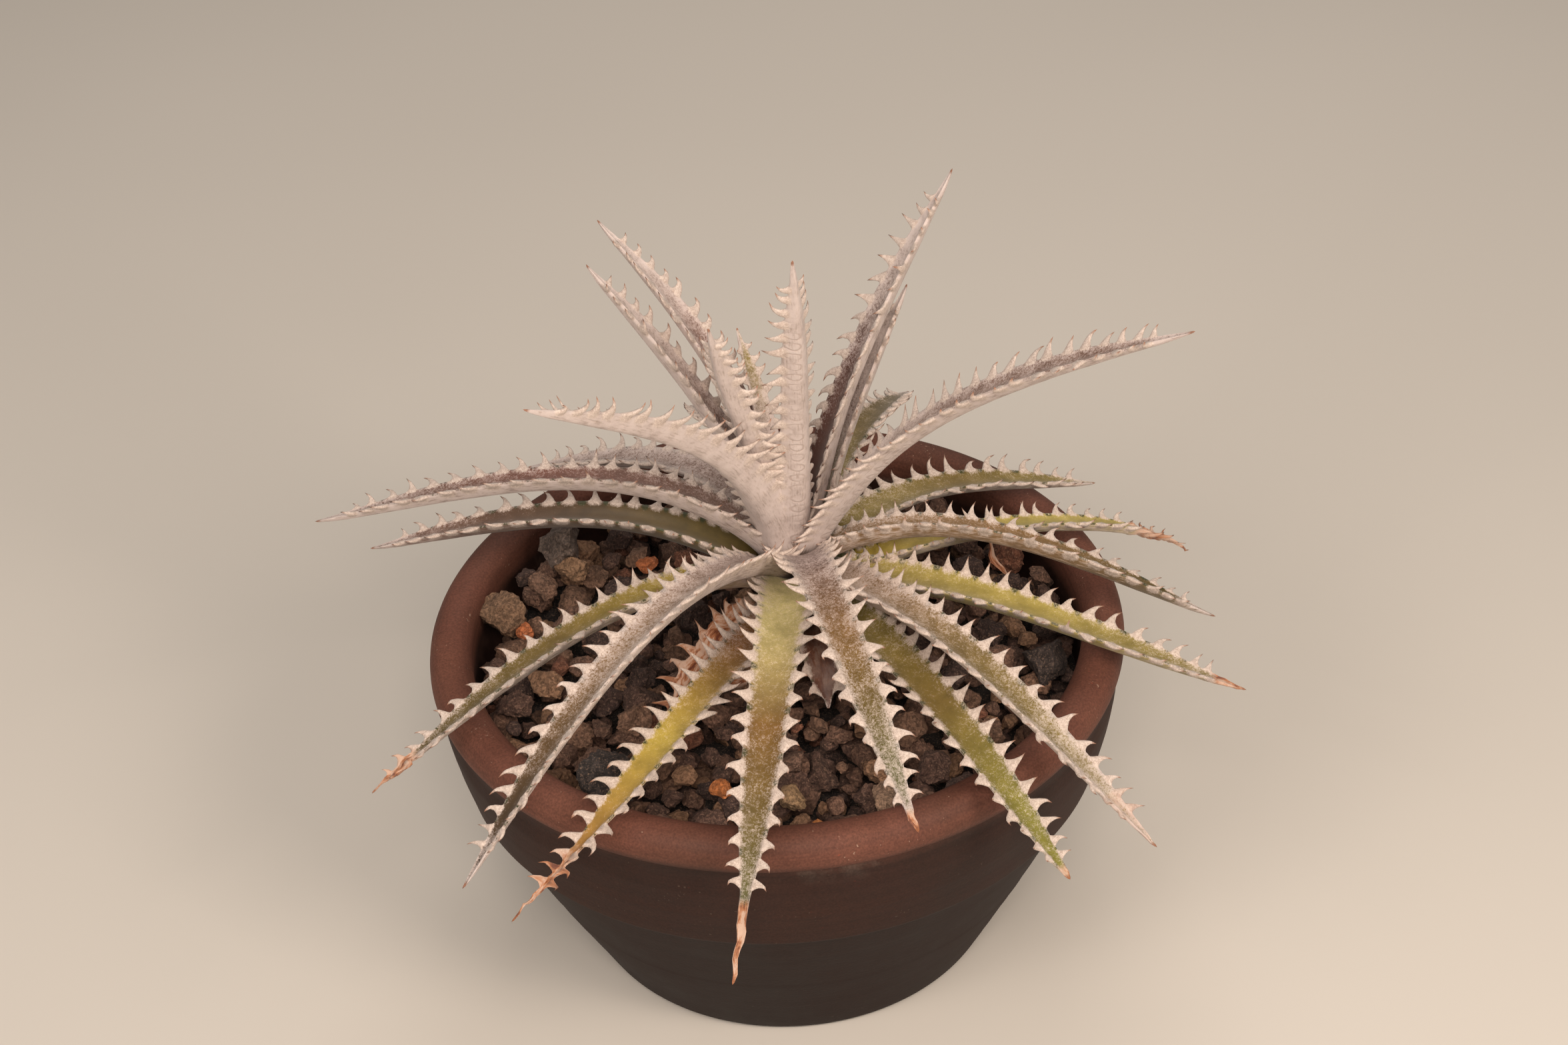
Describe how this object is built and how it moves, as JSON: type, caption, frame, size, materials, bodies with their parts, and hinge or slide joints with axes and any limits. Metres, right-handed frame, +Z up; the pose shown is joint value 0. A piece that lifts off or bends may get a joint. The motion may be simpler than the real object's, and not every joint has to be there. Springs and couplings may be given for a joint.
{
  "type": "potted dyckia bromeliad",
  "caption": "Rosette of arching, channelled leaves with hooked marginal spines, growing from a short stem in a grit-filled clay bowl pot.",
  "frame": {"origin": "centre of the pot's underside, on the surface that the pot stands on", "axes": "+Z up along the pot's axis; +X to the right and +Y away, as seen from the side that the plant leans its lowest leaves towards; the plant's own axis stands 5 mm to the right of the pot's"},
  "size_m": [0.1944, 0.1767, 0.1869],
  "materials": {
    "pot": "unglazed brown earthenware, matte, with fine throwing lines and pale mineral specks",
    "grit": "rough porous pumice and lava grains, dry, grey-brown with some orange and pale ones",
    "stem": "rough brown bark of old leaf scars",
    "dry_leaf": "dry papery orange-brown remains of old leaves",
    "leaf_chalk": "thick blade under chalk-white scales in fine lengthwise lines, matte",
    "leaf_mauve": "purplish-brown channel mottled with white scales, matte",
    "leaf_tan": "tan-olive blade flushed brown, pale scaly edges, matte",
    "leaf_green": "grey-green blade, pale scaly edges and spines, dry orange tip",
    "leaf_yellow": "ageing yellow blade drying to orange-brown, pale spines"
  },
  "bodies": {
    "root": {"pot": "pot", "grit": "grit", "stem": "stem", "leaf_heart_small": "leaf_tan", "leaf_heart_left": "leaf_chalk", "leaf_heart_front": "leaf_chalk", "leaf_upright_right": "leaf_mauve", "leaf_upright_back": "leaf_mauve", "leaf_upright_left": "leaf_mauve", "leaf_rising_right": "leaf_chalk", "leaf_rising_left": "leaf_chalk", "leaf_front_topmost": "leaf_mauve", "leaf_upright_far": "leaf_tan", "leaf_left_upper": "leaf_mauve", "leaf_right_upper": "leaf_mauve", "leaf_front_left": "leaf_tan", "leaf_back_far_left": "leaf_tan", "leaf_back_far_right": "leaf_green", "leaf_front_right": "leaf_tan", "leaf_front": "leaf_green", "leaf_back_right": "leaf_green", "leaf_back_left": "leaf_mauve", "leaf_left_lower": "leaf_green", "leaf_left_front": "leaf_green", "leaf_right": "leaf_green", "leaf_right_behind": "leaf_yellow", "leaf_front_right_lower": "leaf_green", "leaf_front_left_oldest": "leaf_yellow", "dry_leaf_base_left": "dry_leaf", "dry_leaf_base_front": "dry_leaf"}
  },
  "joints": []
}
